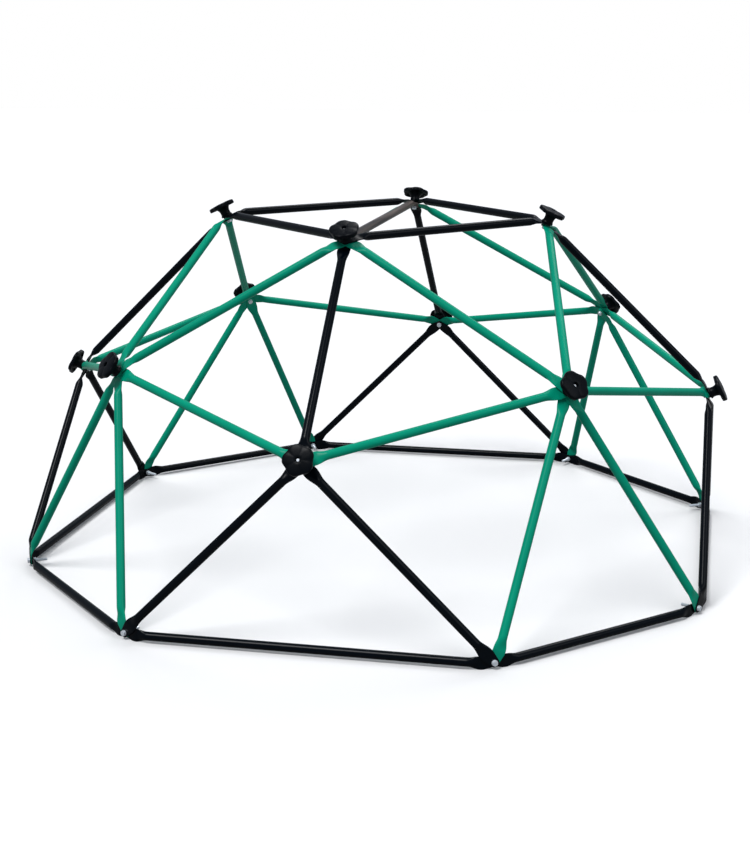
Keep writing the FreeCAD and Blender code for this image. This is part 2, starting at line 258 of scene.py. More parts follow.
FINISHES = {
    Slot.GREEN_TUBE: Finish("green_powder_coat", (0.0, 0.330, 0.200), (0.0, 0.285, 0.172), (0.24, 0.34),
                            specular=0.10, grain_scale=420.0, grain_depth=0.0002),
    Slot.BLACK_TUBE: Finish("black_powder_coat", (0.0006, 0.0026, 0.0054), (0.0003, 0.0016, 0.0036),
                            (0.18, 0.26), specular=0.11, grain_scale=420.0, grain_depth=0.0002),
    # painted reflection: the brown streaks along the cross bar stand in for a broad highlight on a dark
    # glossy tube; the near-black shade between them is the tube's own colour
    Slot.GREY_TUBE: Finish("dark_coat_painted_reflection_streaks", (0.165, 0.135, 0.118), (0.012, 0.012, 0.015), (0.28, 0.45),
                           specular=0.16, patch_scale=110.0, grain_scale=420.0,
                           grain_depth=0.0002, stretch=(1.0, 0.03, 1.0)),
    Slot.KNOB: Finish("moulded_knob_plastic", (0.0008, 0.0022, 0.0044), (0.0004, 0.0014, 0.0028),
                      (0.28, 0.40), specular=0.10, patch_scale=30.0, grain_scale=1800.0,
                      grain_depth=0.0001),
    Slot.INSERT: Finish("turned_insert_steel", (0.46, 0.45, 0.43), (0.30, 0.29, 0.28), (0.28, 0.45),
                        metallic=1.0, patch_scale=120.0, grain_scale=2500.0, grain_depth=0.00004),
    Slot.ZINC: Finish("bright_zinc_plate", (0.90, 0.95, 1.0), (0.70, 0.77, 0.84), (0.26, 0.42),
                      metallic=0.45, patch_scale=90.0, grain_scale=2200.0, grain_depth=0.00003),
}


def dress(piece: bpy.types.Object, slot: Slot, body: str, *nodes: str) -> None:
    """Give a finished piece its finish, its body and the CAD nodes that it stands for.

    Args:
        piece: the finished piece.
        slot: the record's slot that it takes its finish from.
        body: the CAD body that it moves with.
        nodes: the CAD nodes that it replaces.
    """
    piece.data.materials.clear()
    piece.data.materials.append(FINISHES[slot].material())
    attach(piece, body)
    if nodes:
        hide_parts(*nodes)
    LOG.info("%s rides on %s, %d faces", piece.name, body, len(piece.data.polygons))


# ---------------------------------------------------------------- places of the joints


@dataclass(frozen=True)
class Joint:
    """A bolted joint: the middle of its stack of tube ends, and its bolt's outward axis."""

    place: Vector
    axis: Vector
    stack: tuple[str, ...]

    def layer_height(self, strut_end: str, lug_thickness: float) -> float:
        """Height of one tube end above the middle of the stack.

        Args:
            strut_end: the tube end's name in the stack, or cross_bar for the layer under it.
            lug_thickness: thickness of one flattened end.

        Returns:
            The height in metres, outward positive.
        """
        layer = self.stack.index(strut_end) if strut_end in self.stack else -1
        return (layer + 0.5 - len(self.stack) / 2) * lug_thickness

    def matrix(self, height: float, direction: int = 1) -> Matrix:
        """Place of a fastener whose own Z lies on the bolt.

        Args:
            height: distance outward from the middle of the stack.
            direction: 1 for outward, -1 for inward.

        Returns:
            The placement as a matrix.
        """
        turn = (self.axis * direction).to_track_quat("Z", "Y").to_matrix().to_4x4()
        return Matrix.Translation(self.place + self.axis * height) @ turn


@dataclass
class DomeLayout:
    """Where the joints are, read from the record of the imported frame."""

    lug_width: float = 41.555 * MM
    lug_thickness: float = 3.0 * MM
    top_stack: tuple[str, ...] = ("upper_leg", "upper_brace_left", "upper_brace_right", "top_rail_tail",
                                  "top_rail_head")
    middle_stack: tuple[str, ...] = ("lower_leg_left", "lower_leg_right", "middle_rail_left",
                                     "middle_rail_right", "upper_leg")
    corner_stack: tuple[str, ...] = ("lower_brace_left", "lower_brace_right", "middle_rail_left",
                                     "middle_rail_right", "upper_brace_left", "upper_brace_right")
    foot_stack: tuple[str, ...] = ("corner_rail", "base_rail", "lower_brace", "lower_leg")
    joints: dict[tuple[str, int], Joint] = field(default_factory=dict)

    def __post_init__(self) -> None:
        """Read every joint's place and axis."""
        record = frame["record"]
        hinges = {j["name"]: j for j in record["behaviour"]["joints"] if j["type"] == "hinge"}
        families = (("top", "top", SIDES, self.top_stack), ("middle", "middle", SIDES, self.middle_stack),
                    ("corner", "middle", CORNERS, self.corner_stack))
        for family, level, names, stack in families:
            for turn, name in enumerate(names):
                hinge = hinges[f"turn_{level}_{name}"]
                self.joints[family, turn] = Joint(Vector(hinge["pos_m"]), Vector(hinge["axis"]).normalized(),
                                                  stack)
        for turn in range(len(SIDES)):
            middle = self.joints["middle", turn].place
            step = self.joints["top", turn].place.z - middle.z
            sideways = Vector((-middle.y, middle.x, 0)).normalized()
            for family, hand in (("foot_left", -1), ("foot_right", 1)):
                place = middle + sideways * hand * step - Vector((0, 0, step))
                self.joints[family, turn] = Joint(place, Vector((place.x, place.y, 0)).normalized(),
                                                  self.foot_stack)

    def at(self, family: str, turn: int = 0) -> Joint:
        """The joint of a family, a number of quarter turns round the dome."""
        return self.joints[family, turn % len(SIDES)]


# ---------------------------------------------------------------- tubes


@dataclass
class TubeWork:
    """The tubes: round in the middle, pressed flat, bent and drilled at both ends."""

    layout: DomeLayout
    radius: float = 13.5 * MM
    squash_length: float = 42.0 * MM
    lug_reach: float = 18.0 * MM
    lug_shoulder: float = 10.0 * MM
    nose_radius: float = 15.0 * MM
    bend_length: float = 7.0 * MM
    hole_radius: float = 5.5 * MM
    fold_points: int = 4
    flat_points: int = 10
    press_rings: int = 12
    bend_rings: int = 4
    tip_angles: tuple[float, ...] = (15, 30, 45, 57, 68, 77, 84)
    drill_sides: int = 32
    patterns: dict[str, bpy.types.Object] = field(default_factory=dict)

    @property
    def lug_length(self) -> float:
        """Distance from the bend to the hole."""
        return self.lug_reach + self.layout.lug_width / 2

    def bend(self, here: Joint, there: Joint, strut_end: str) -> tuple[Vector, Vector]:
        """Where a tube end bends, and the direction from its hole to the bend.

        Args:
            here: the joint of this end.
            there: the joint of the other end.
            strut_end: this end's name in the stack.

        Returns:
            The bend's place and the direction.
        """
        chord = there.place - here.place
        along = (chord - here.axis * chord.dot(here.axis)).normalized()
        height = here.layer_height(strut_end, self.layout.lug_thickness)
        return here.place + here.axis * height + along * self.lug_length, along

    def section_angles(self) -> list[tuple[float, float]]:
        """Points round a tube's section, closer together where the wall folds.

        Returns:
            For each point its angle on the round tube and its share of the way round.
        """
        thickness, width = self.layout.lug_thickness, self.layout.lug_width
        fold = math.pi * thickness / 2
        flat = width - thickness
        perimeter = 2 * (fold + flat)
        marks: list[float] = []
        for half in range(2):
            start = half * perimeter / 2
            marks += [start - fold / 2 + fold * i / self.fold_points for i in range(self.fold_points)]
            marks += [start + fold / 2 + flat * i / self.flat_points for i in range(self.flat_points)]
        return [(2 * math.pi * mark / perimeter, mark) for mark in marks]

    def section_point(self, angle: float, mark: float, press: float, nose: float) -> tuple[float, float]:
        """One point of a tube's section.

        Args:
            angle: the point's angle on the round tube.
            mark: its distance round the section.
            press: 0 for round, 1 for pressed flat.
            nose: width left at the rounded nose, as a share of the full width.

        Returns:
            The point's sideways and outward coordinates.
        """
        thickness, width = self.layout.lug_thickness, self.layout.lug_width
        fold, flat = math.pi * thickness / 2, width - thickness
        half = fold + flat
        along = mark % (2 * half)
        side = 1.0
        if along > half - fold / 2 and along < 2 * half - fold / 2:
            along -= half
            side = -1.0
        elif along >= 2 * half - fold / 2:
            along -= 2 * half
        if along <= fold / 2:
            turn = along / (thickness / 2)
            pressed = (flat / 2 + thickness / 2 * math.cos(turn), thickness / 2 * math.sin(turn))
        else:
            pressed = (flat / 2 - (along - fold / 2), thickness / 2)
        flat_y, flat_z = side * pressed[0] * nose, side * pressed[1]
        round_y, round_z = self.radius * math.cos(angle), self.radius * math.sin(angle)
        return round_y + (flat_y - round_y) * press, round_z + (flat_z - round_z) * press

    def lug_share(self, past: float) -> float:
        """Width of the lug at a distance past its bend.

        Args:
            past: the distance from the bend.

        Returns:
            The width as a share of the lug's full width.
        """
        full = self.layout.lug_width / 2
        if past <= self.lug_shoulder:
            return 1.0
        if past <= self.lug_length:
            taper = (past - self.lug_shoulder) / (self.lug_length - self.lug_shoulder)
            return 1.0 + (self.nose_radius / full - 1.0) * taper
        over = min(1.0, (past - self.lug_length) / self.nose_radius)
        return self.nose_radius / full * math.sqrt(1.0 - over * over)

    def centre_line(self, distance: float, half_run: float, tilt: float) -> tuple[float, float, float]:
        """Point and slope of the tube's middle line on one side of its middle.

        Args:
            distance: distance along the tube from its middle.
            half_run: distance from the middle to the bend.
            tilt: angle of the bend.

        Returns:
            Distance out, drop towards the dome's middle, and slope.
        """
        reach = self.bend_length
        past = distance - half_run
        if past <= -reach:
            return distance, 0.0, 0.0
        if past >= reach:
            return half_run + past * math.cos(tilt), past * math.sin(tilt), tilt
        slope = tilt * (past + reach) / (2 * reach)
        turn_radius = reach / math.tan(tilt / 2)
        return (half_run - reach + turn_radius * math.sin(slope),
                turn_radius * (1 - math.cos(slope)), slope)

    def stations(self, half_run: float) -> list[float]:
        """Distances from a tube's middle where its section changes."""
        nose_start = half_run + self.lug_length
        press = [half_run - self.squash_length + self.squash_length * i / self.press_rings
                 for i in range(self.press_rings)]
        bend = [half_run - self.bend_length / 2 + self.bend_length * i / self.bend_rings
                for i in range(self.bend_rings)]
        lug = [half_run + self.lug_shoulder, half_run + self.lug_length / 2, nose_start]
        tip = [nose_start + self.nose_radius * math.sin(math.radians(angle)) for angle in self.tip_angles]
        return sorted(press + bend + lug + tip)

    def model(self, name: str, tail: Joint, head: Joint, tail_end: str, head_end: str) -> bpy.types.Object:
        """Model one tube between two joints.

        Args:
            name: the pattern's name.
            tail: the joint at its tail.
            head: the joint at its head.
            tail_end: the tail's name in its stack.
            head_end: the head's name in its stack.

        Returns:
            The tube, in place.
        """
        tail_bend, tail_along = self.bend(tail, head, tail_end)
        head_bend, head_along = self.bend(head, tail, head_end)
        x_axis = (head_bend - tail_bend).normalized()
        y_axis = tail.axis.cross(x_axis).normalized()
        z_axis = x_axis.cross(y_axis)
        half_run = (head_bend - tail_bend).length / 2
        tilts = {-1: tail_along.angle(x_axis), 1: head_along.angle(-x_axis)}

        angles = self.section_angles()
        stations = self.stations(half_run)
        length = 2 * stations[-1]
        deselect()
        bpy.ops.mesh.primitive_cylinder_add(vertices=len(angles), radius=self.radius, depth=length)
        tube = named(name)
        start_editing(tube)
        for station in stations[:-1]:
            for side in (-1, 1):
                bpy.ops.mesh.select_all(action="SELECT")
                bpy.ops.mesh.bisect(plane_co=(0, 0, side * station), plane_no=(0, 0, 1))
        finish_editing()
        self.press(tube, angles, half_run, tilts)
        self.drill(tube, half_run, tilts)
        turn = Matrix((x_axis, y_axis, z_axis)).transposed().to_4x4()
        tube.data.transform(Matrix.Translation((tail_bend + head_bend) / 2) @ turn)
        smooth(tube, SOFT_EDGE)
        return tube

    def press(self, tube: bpy.types.Object, angles: list[tuple[float, float]], half_run: float,
              tilts: dict[int, float]) -> None:
        """Press both ends of a straight tube flat, round their noses and bend them.

        Args:
            tube: a cylinder along its own Z with rings at every station.
            angles: the section's points.
            half_run: distance from the middle to each bend.
            tilts: the bend's angle at the tail (-1) and the head (1).
        """
        count = len(angles)
        for vertex in tube.data.vertices:
            step = round((math.atan2(vertex.co.x, vertex.co.y) / (2 * math.pi)) * count) % count
            angle, mark = angles[step]
            side = 1 if vertex.co.z >= 0 else -1
            distance = abs(vertex.co.z)
            press = ease((distance - half_run + self.squash_length) / self.squash_length)
            y, z = self.section_point(angle, mark, press, self.lug_share(distance - half_run))
            out, drop, slope = self.centre_line(distance, half_run, tilts[side])
            vertex.co = Vector((side * (out + z * math.sin(slope)), y, z * math.cos(slope) - drop))

    def drill(self, tube: bpy.types.Object, half_run: float, tilts: dict[int, float]) -> None:
        """Drill both lugs.

        Args:
            tube: the pressed tube, its length along X.
            half_run: distance from the middle to each bend.
            tilts: the bend's angle at each end.
        """
        for side, tilt in tilts.items():
            out, drop, slope = self.centre_line(half_run + self.lug_length, half_run, tilt)
            deselect()
            bpy.ops.mesh.primitive_cylinder_add(vertices=self.drill_sides, radius=self.hole_radius,
                                                depth=self.layout.lug_width)
            drill = named("drill")
            drill.data.transform(Matrix.Translation((side * out, 0, -drop))
                                 @ Matrix.Rotation(side * slope, 4, "Y"))
            apply_modifier(tube, "BOOLEAN", object=drill, operation="DIFFERENCE", solver="EXACT")
            discard(drill)

    def build(self) -> None:
        """Model one tube of each kind."""
        at = self.layout.at
        kinds = {
            "top_rail": (at("top"), at("top", 1), "top_rail_tail", "top_rail_head"),
            "top_cross_bar": (at("top"), at("top", 2), "cross_bar", "cross_bar"),
            "upper_leg": (at("top"), at("middle"), "upper_leg", "upper_leg"),
            "upper_brace_left": (at("top"), at("corner", 3), "upper_brace_left", "upper_brace_left"),
            "upper_brace_right": (at("top"), at("corner"), "upper_brace_right", "upper_brace_right"),
            "middle_rail_left": (at("middle"), at("corner", 3), "middle_rail_left", "middle_rail_left"),
            "middle_rail_right": (at("middle"), at("corner"), "middle_rail_right", "middle_rail_right"),
            "lower_leg_left": (at("middle"), at("foot_left"), "lower_leg_left", "lower_leg"),
            "lower_leg_right": (at("middle"), at("foot_right"), "lower_leg_right", "lower_leg"),
            "lower_brace_left": (at("corner"), at("foot_right"), "lower_brace_left", "lower_brace"),
            "lower_brace_right": (at("corner"), at("foot_left", 1), "lower_brace_right", "lower_brace"),
            "base_rail": (at("foot_left"), at("foot_right"), "base_rail", "base_rail"),
            "corner_rail": (at("foot_right"), at("foot_left", 1), "corner_rail", "corner_rail"),
        }
        for kind, layout in kinds.items():
            self.patterns[kind] = self.model(f"{kind}_pattern", *layout)

    def place(self, kind: str, turn: int, name: str, slot: Slot, *nodes: str) -> None:
        """Put one tube in its quarter of the dome and dress it.

        Args:
            kind: the pattern's name.
            turn: quarter turns round the dome.
            name: the piece's name.
            slot: its material slot.
            nodes: the CAD nodes that it replaces.
        """
        tube = copy_piece(self.patterns[kind], name, Matrix.Rotation(math.radians(90 * turn), 4, "Z"))
        dress(tube, slot, "frame", *nodes)

    def dress(self) -> None:
        """Set out the tubes of all four quarters."""
        black, green = Slot.BLACK_TUBE, Slot.GREEN_TUBE
        for turn, (side, corner) in enumerate(zip(SIDES, CORNERS)):
            self.place("top_rail", turn, f"rail_top_{corner}", black, f"top_rail_{corner}")
            self.place("upper_leg", turn, f"leg_upper_{side}", black, f"upper_leg_{side}")
            self.place("base_rail", turn, f"rail_base_{side}", black, f"base_rail_{side}")
            self.place("corner_rail", turn, f"rail_base_{corner}", black, "base_corner_rails")
            for hand in ("left", "right"):
                self.place(f"lower_leg_{hand}", turn, f"leg_lower_{side}_{hand}", black,
                           f"lower_legs_{side}")
                self.place(f"upper_brace_{hand}", turn, f"brace_upper_{side}_{hand}", green,
                           f"upper_braces_{side}")
                self.place(f"middle_rail_{hand}", turn, f"rail_middle_{side}_{hand}", green,
                           f"middle_rails_{side}")
                self.place(f"lower_brace_{hand}", turn, f"brace_lower_{corner}_{hand}", green,
                           f"lower_braces_{corner}")
        self.place("top_cross_bar", 0, "bar_across_top", Slot.GREY_TUBE, "top_cross_bar")
        for pattern in self.patterns.values():
            discard(pattern)


# ---------------------------------------------------------------- bolts, nuts and washers


@dataclass
class Fasteners:
    """Hexagon bolts with their threads, nuts and washers."""

    layout: DomeLayout
    bolt_radius: float = 5.0 * MM
    bolt_length: float = 60.0 * MM
    lead: float = 0.9 * MM
    pitch: float = 1.5 * MM
    thread_depth: float = 0.75 * MM
    flats: float = 16.0 * MM
    head_height: float = 6.4 * MM
    nut_height: float = 8.0 * MM
    washer_radius: float = 9.0 * MM
    washer_thickness: float = 1.6 * MM
    hole_radius: float = 5.5 * MM
    rings_per_turn: int = 5
    thread_sides: int = 20
    round_sides: int = 48
    bore_sides: int = 40
    corner_spread: float = 1.12
    corner_chamfer: float = 1.1 * MM
    stamped_edge: float = 0.3 * MM
    level_face: float = 0.9

    def hexagon(self, name: str, low: float, high: float, faces: int) -> bpy.types.Object:
        """A hexagon block with its corners turned off at one or both ends.

        Args:
            name: the piece's name.
            low: its lower face.
            high: its upper face.
            faces: 1 to turn off the lower corners only, 2 for both.

        Returns:
            The block, on its own Z.
        """
        middle = (low + high) / 2
        deselect()
        bpy.ops.mesh.primitive_cylinder_add(vertices=6, radius=self.flats / math.sqrt(3),
                                            depth=high - low, location=(0, 0, middle))
        block = named(name)
        bpy.ops.object.transform_apply(location=True, rotation=True, scale=True)
        spread = self.corner_spread * self.flats / 2
        deselect()
        bpy.ops.mesh.primitive_cylinder_add(vertices=self.round_sides, radius=spread, depth=high - low,
                                            location=(0, 0, middle))
        turning = named("turning")
        bpy.ops.object.transform_apply(location=True, rotation=True, scale=True)
        apply_modifier(turning, "BEVEL", width=self.corner_chamfer, segments=1, limit_method="ANGLE",
                       angle_limit=math.radians(60))
        if faces == 1:
            for vertex in turning.data.vertices:
                if vertex.co.z > middle:
                    vertex.co.z = high
                    flat = Vector((vertex.co.x, vertex.co.y, 0)).normalized() * spread
                    vertex.co.x, vertex.co.y = flat.x, flat.y
            apply_modifier(turning, "WELD", merge_threshold=0.02 * MM)
        apply_modifier(block, "BOOLEAN", object=turning, operation="INTERSECT", solver="EXACT")
        discard(turning)
        return block

    def shank(self) -> bpy.types.Object:
        """A threaded shank from the origin up, closed at both ends.

        Returns:
            The shank.
        """
        deselect()
        bpy.ops.mesh.primitive_cylinder_add(vertices=self.thread_sides, radius=self.bolt_radius,
                                            depth=self.bolt_length, location=(0, 0, self.bolt_length / 2))
        shank = named("shank")
        bpy.ops.object.transform_apply(location=True, rotation=True, scale=True)
        start_editing(shank)
        step = self.pitch / self.rings_per_turn
        for ring in range(1, int(self.bolt_length / step)):
            bpy.ops.mesh.select_all(action="SELECT")
            bpy.ops.mesh.bisect(plane_co=(0, 0, ring * step), plane_no=(0, 0, 1))
        finish_editing()
        for vertex in shank.data.vertices:
            around = math.atan2(vertex.co.y, vertex.co.x) / (2 * math.pi)
            phase = (vertex.co.z / self.pitch - around) % 1.0
            groove = self.thread_depth * (1.0 - abs(2.0 * phase - 1.0))
            to_end = self.bolt_length - vertex.co.z
            lead = max(0.0, self.lead - to_end)
            reach = min(self.bolt_radius - groove, self.bolt_radius - lead)
            flat = Vector((vertex.co.x, vertex.co.y, 0)).normalized() * reach
            vertex.co.x, vertex.co.y = flat.x, flat.y
        return shank

    def bolt(self) -> bpy.types.Object:
        """A hexagon bolt.

        Returns:
            The bolt, the underside of its head at the origin and its shank up its Z.
        """
        head = self.hexagon("bolt_pattern", -self.head_height, 0.0, 1)
        shank = self.shank()
        deselect()
        shank.select_set(True)
        head.select_set(True)
        bpy.context.view_layer.objects.active = head
        bpy.ops.object.join()
        smooth(head, CRISP_EDGE)
        return head

    def nut(self) -> bpy.types.Object:
        """A nut, bored for its bolt.

        Returns:
            The nut, from the origin up.
        """
        nut = self.hexagon("nut_pattern", 0.0, self.nut_height, 2)
        deselect()
        bpy.ops.mesh.primitive_cylinder_add(vertices=self.bore_sides, radius=self.bolt_radius,
                                            depth=4 * self.nut_height)
        bore = named("bore")
        apply_modifier(nut, "BOOLEAN", object=bore, operation="DIFFERENCE", solver="EXACT")
        discard(bore)
        smooth(nut, CRISP_EDGE)
        return nut

    def washer(self) -> bpy.types.Object:
        """A washer with its stamped edge eased.

        Returns:
            The washer, from the origin up.
        """
        deselect()
        bpy.ops.mesh.primitive_cylinder_add(vertices=self.round_sides, radius=self.washer_radius,
                                            depth=self.washer_thickness,
                                            location=(0, 0, self.washer_thickness / 2))
        washer = named("washer_pattern")
        bpy.ops.object.transform_apply(location=True, rotation=True, scale=True)
        start_editing(washer)
        bpy.ops.mesh.select_all(action="DESELECT")
        bpy.ops.mesh.select_mode(type="FACE")
        finish_editing()
        for face in washer.data.polygons:
            face.select = abs(face.normal.z) > self.level_face
        start_editing(washer)
        bpy.ops.mesh.inset(thickness=self.washer_radius - self.hole_radius, depth=0)
        bpy.ops.mesh.bridge_edge_loops()
        finish_editing()
        apply_modifier(washer, "BEVEL", width=self.stamped_edge, segments=2, limit_method="ANGLE",
                       angle_limit=math.radians(50))
        smooth(washer, CRISP_EDGE)
        return washer

    def build(self) -> None:
        """Model and set out every bolt, nut and washer."""
        bolt, nut, washer = self.bolt(), self.nut(), self.washer()
        lug = self.layout.lug_thickness
        for (family, turn), joint in self.layout.joints.items():
            name = FEET[family][turn] if family in FEET else (CORNERS if family == "corner" else SIDES)[turn]
            name = f"{'base' if family in FEET else family}_{name}"
            half = len(joint.stack) * lug / 2
            if family in FEET:
                outer = half + self.washer_thickness
                self.set_out(bolt, f"bolt_{name}", joint.matrix(outer, -1), "base_bolts")
                self.set_out(nut, f"nut_{name}", joint.matrix(-outer, -1), "base_nuts")
                self.set_out(washer, f"washer_outer_{name}", joint.matrix(outer, -1), "base_washers")
                self.set_out(washer, f"washer_inner_{name}", joint.matrix(-half, -1), "base_washers")
            else:
                crossed = family == "top" and turn % 2 == 0
                low = -half - (lug if crossed else 0.0) - self.washer_thickness
                self.set_out(bolt, f"bolt_{name}", joint.matrix(low), "upper_bolts")
                self.set_out(washer, f"washer_{name}", joint.matrix(low), "upper_washers")
        for pattern in (bolt, nut, washer):
            discard(pattern)

    def set_out(self, pattern: bpy.types.Object, name: str, place: Matrix, node: str) -> None:
        """Copy a fastener to its place and dress it.

        Args:
            pattern: the modelled fastener.
            name: the copy's name.
            place: where it goes.
            node: the CAD node that it stands for.
        """
        dress(copy_piece(pattern, name, place), Slot.ZINC, "frame", node)


# ---------------------------------------------------------------- knobs


@dataclass
class Knobs:
    """Lobed hand knobs and their threaded inserts.

    The steps round an edge or over a lobe's corner are in degrees, and valley_angle is in radians.
    """

    layout: DomeLayout
    lobes: int = 5
    rim_radius: float = 47.5 * MM
    height: float = 48.0 * MM
    crown: float = 3.5 * MM
    rim: float = 12.0 * MM
    shell: float = 6.0 * MM
    neck_radius: float = 17.0 * MM
    foot_radius: float = 20.0 * MM
    foot_height: float = 12.0 * MM
    socket_radius: float = 8.05 * MM
    hole_radius: float = 5.5 * MM
    scallop_radius: float = 110.0 * MM
    scallop_depth: float = 5.0 * MM
    valley: float = 0.6 * MM
    valley_angle: float = 0.16
    socket_land: float = 2.0 * MM
    edge: float = 1.2 * MM
    waist_from: float = 5.0 * MM
    waist_rise: float = 7.0 * MM
    flare_power: float = 2.2
    flare_steps: tuple[float, ...] = (0.0, 0.2, 0.4, 0.55, 0.7, 0.8, 0.9, 1.0)
    round_steps: tuple[float, ...] = (20, 40, 60, 80)
    easing_steps: tuple[float, ...] = (-6, -3, 0, 3, 6)
    knob_steps: int = 120
    insert_radius: float = 8.0 * MM
    insert_length: float = 20.0 * MM
    insert_bore: float = 5.05 * MM
    insert_gap: float = 0.03 * MM
    insert_edge: float = 0.5 * MM
    insert_groove: float = 0.35 * MM
    insert_steps: int = 60
    spins: dict[str, tuple[float, ...]] = field(default_factory=lambda: {
        "top": (1, 50, 5, 35), "middle": (0, 40, 60, 15), "corner": (30, 55, 10, 45)})

    def lobe_radius(self, around: float) -> float:
        """Outline of the head at an angle round the knob.

        Args:
            around: the angle, in radians.

        Returns:
            The radius of the round rim, or of the shallow scallop that cuts it there.
        """
        pitch = 2 * math.pi / self.lobes
        off = (around + pitch / 2) % pitch - pitch / 2
        centre = self.rim_radius - self.scallop_depth + self.scallop_radius
        under = self.scallop_radius ** 2 - (centre * math.sin(off)) ** 2
        if under <= 0:
            return self.rim_radius
        return min(self.rim_radius, centre * math.cos(off) - math.sqrt(under))

    def soft_lobe(self, around: float) -> float:
        """Outline with its corners eased, by averaging over a few degrees."""
        spread = [math.radians(step) for step in self.easing_steps]
        return sum(self.lobe_radius(around + step) for step in spread) / len(spread)

    def foot_section(self) -> list[tuple[float, float]]:
        """Half section of the foot and the neck, which widens upwards into the head's recess.

        Returns:
            Radius and height of each point, from the hole outwards and up.
        """
        neck, foot, edge = self.neck_radius, self.foot_radius, self.edge
        ceiling = self.height - self.crown - self.shell
        recess = self.rim_radius - 2.0 * self.shell
        flare, flare_from = (neck + 3.0 * recess) / 4.0, 1.3 * self.foot_height
        points = [(self.hole_radius, 0.0), (foot - edge, 0.0), (foot - edge / 4, edge / 3), (foot, edge),
                  (foot, 5 * edge / 2), (foot - 2 * edge / 3, 11 * edge / 3)]
        points += [(neck + (foot - neck) * (1 - math.sin(math.radians(angle))),
                    self.waist_from + self.waist_rise * (1 - math.cos(math.radians(angle))))
                   for angle in self.round_steps]
        points += [(neck + (flare - neck) * share ** self.flare_power,
                    flare_from + (ceiling - flare_from) * share) for share in self.flare_steps]
        return points

    def head_section(self) -> list[tuple[float, float]]:
        """Half section of the head, from its recess round the rim and over the crown into the socket.

        Returns:
            Radius and height of each point.
        """
        rim, shell, top, edge = self.rim_radius, self.shell, self.height, self.edge
        low, ceiling = top - self.crown - self.rim, top - self.crown - shell
        recess = [(rim - 2.0 * shell, ceiling), (rim - 1.6 * shell, ceiling - 1.0 * MM),
                  (rim - 1.05 * shell, low + 2.0 * MM), (rim - 0.95 * shell, low + 0.5 * MM)]
        lip = [(rim - 0.75 * shell, low), (rim - 0.3 * shell, low), (rim - 0.08 * shell, low + 0.6 * MM),
               (rim, low + 2.0 * MM), (rim, top - 2.0 * self.crown)]
        corner = [(rim - 0.5 * shell * (1 - math.cos(math.radians(angle))),
                   top - 2.0 * self.crown + 1.3 * self.crown * math.sin(math.radians(angle)))
                  for angle in self.round_steps]
        crown = [(0.8 * rim, top - 0.35 * self.crown), (0.6 * rim, top - 0.12 * self.crown),
                 (0.34 * rim, top)]
        socket = [(self.socket_radius + edge, top), (self.socket_radius + edge / 4, top - edge / 4),
                  (self.socket_radius, top - edge), (self.socket_radius, self.foot_height),
                  (self.hole_radius, self.foot_height)]
        return recess + lip + corner + crown + socket

    def lathe(self, name: str, profile: list[tuple[float, float]], steps: int) -> bpy.types.Object:
        """Spin a closed half section into a ring-shaped piece.

        Args:
            name: the piece's name.
            profile: radius and height of each point, in order.
            steps: number of steps round.

        Returns:
            The turned piece on its own Z.
        """
        deselect()
        bpy.ops.mesh.primitive_circle_add(vertices=len(profile), radius=self.rim_radius)
        piece = named(name)
        for vertex, (radius, height) in zip(piece.data.vertices, profile):
            vertex.co = (radius, 0.0, height)
        start_editing(piece)
        bpy.ops.mesh.select_all(action="SELECT")
        bpy.ops.mesh.spin(steps=steps, dupli=False, angle=2 * math.pi, center=(0, 0, 0), axis=(0, 0, 1))
        bpy.ops.mesh.select_all(action="SELECT")
        bpy.ops.mesh.remove_doubles(threshold=0.01 * MM)
        bpy.ops.mesh.normals_make_consistent(inside=False)
        finish_editing()
        return piece

    def knob(self) -> bpy.types.Object:
        """Model the knob: turned, then pressed into lobes with a shallow valley between each two.

        Returns:
            The knob, its foot at the origin.
        """
        knob = self.lathe("knob_pattern", self.foot_section() + self.head_section(), self.knob_steps)
        valley_run = self.neck_radius + self.shell
        top_from = self.height - 2.2 * self.crown
        pitch = 2 * math.pi / self.lobes
        for vertex in knob.data.vertices:
            reach = math.hypot(vertex.co.x, vertex.co.y)
            if vertex.co.z < self.foot_height * 1.2:
                continue
            around = math.atan2(vertex.co.y, vertex.co.x)
            share = ease((reach - self.neck_radius) / (self.rim_radius * 0.9 - self.neck_radius))
            lobe = self.soft_lobe(around) / self.rim_radius
            scale = 1.0 + (lobe - 1.0) * share
            vertex.co.x *= scale
            vertex.co.y *= scale
            if vertex.co.z > top_from and reach > self.socket_radius + self.socket_land:
                off = (around + pitch / 2) % pitch - pitch / 2
                dip = math.exp(-(off / self.valley_angle) ** 2)
                dip *= ease((reach - self.socket_radius) / valley_run)
                vertex.co.z -= self.valley * dip
        smooth(knob, SOFT_EDGE)
        return knob

    def insert(self) -> bpy.types.Object:
        """Model the threaded insert: a bush with eased ends and a groove round its waist.

        Returns:
            The insert, in its place above the knob's foot.
        """
        outer, bore = self.insert_radius, self.insert_bore
        floor, top = self.foot_height + self.insert_gap, self.foot_height + self.insert_length
        ease_by, groove = self.insert_edge, self.insert_groove
        profile = [(bore + ease_by, floor), (outer - ease_by, floor), (outer, floor + ease_by)]
        middle = (floor + top) / 2
        profile += [(outer, middle - 2.0 * MM), (outer - groove, middle - 1.6 * MM),
                    (outer - groove, middle + 1.6 * MM), (outer, middle + 2.0 * MM)]
        profile += [(outer, top - ease_by), (outer - ease_by, top), (bore + ease_by, top),
                    (bore, top - ease_by), (bore, floor + ease_by)]
        insert = self.lathe("insert_pattern", profile, self.insert_steps)
        smooth(insert, SOFT_EDGE)
        return insert

